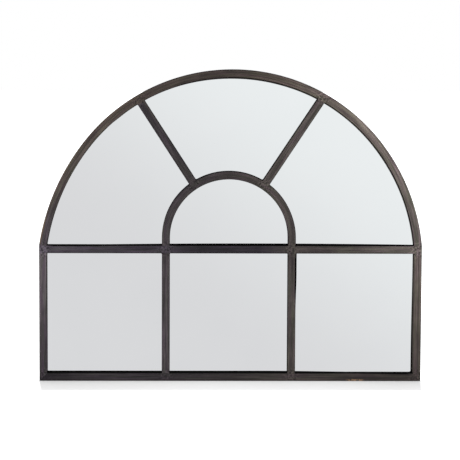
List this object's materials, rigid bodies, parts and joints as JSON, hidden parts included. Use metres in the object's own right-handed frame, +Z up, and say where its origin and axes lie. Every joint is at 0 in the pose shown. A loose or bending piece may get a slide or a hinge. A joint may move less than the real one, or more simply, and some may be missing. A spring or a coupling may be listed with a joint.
{
  "type": "arched wall mirror",
  "caption": "Arched window-style wall mirror: a dark bronze steel grille over mirror panes on a backing board, hung by two D-rings.",
  "frame": {"origin": "on the wall plane, midway between the two wall hooks that the raised rings hang from", "axes": "+X to the right seen from the front, +Y into the wall, +Z up"},
  "size_m": [0.914, 0.034, 0.746],
  "materials": {
    "bronze": "dark rubbed bronze, satin",
    "mirror": "polished silvered glass",
    "tape": "white foam",
    "spacer": "black foam strip",
    "board": "fibreboard painted matt black",
    "screws": "zinc plated",
    "hanger": "nickel plated",
    "bumper": "soft black rubber"
  },
  "bodies": {
    "mirror": {"outer_arch": "bronze", "left_stile": "bronze", "right_stile": "bronze", "bottom_rail": "bronze", "transom_left": "bronze", "transom_centre": "bronze", "transom_right": "bronze", "inner_arch": "bronze", "radial_bar_left": "bronze", "radial_bar_right": "bronze", "pane_lower_left": "mirror", "pane_lower_centre": "mirror", "pane_lower_right": "mirror", "pane_inner_arch": "mirror", "pane_fan_left": "mirror", "pane_fan_top": "mirror", "pane_fan_right": "mirror", "pane_tape": "tape", "spacer_bottom": "spacer", "spacer_left": "spacer", "spacer_right": "spacer", "spacer_arch_left": "spacer", "spacer_arch_right": "spacer", "backing_board": "board", "board_screws": "screws", "hanger_strap_left": "hanger", "hanger_strap_right": "hanger", "hanger_screws": "screws", "wall_bumpers": "bumper"},
    "left_ring": {"hanger_ring_left": "hanger"},
    "right_ring": {"hanger_ring_right": "hanger"}
  },
  "joints": [
    {"name": "ring_left_swing", "type": "hinge", "parent": "mirror", "child": "left_ring", "pos_m": [-0.203, -0.00412, -0.0184], "axis": [1, 0, 0], "range_deg": [0, 176]},
    {"name": "ring_right_swing", "type": "hinge", "parent": "mirror", "child": "right_ring", "pos_m": [0.203, -0.00412, -0.0184], "axis": [1, 0, 0], "range_deg": [0, 176]}
  ]
}
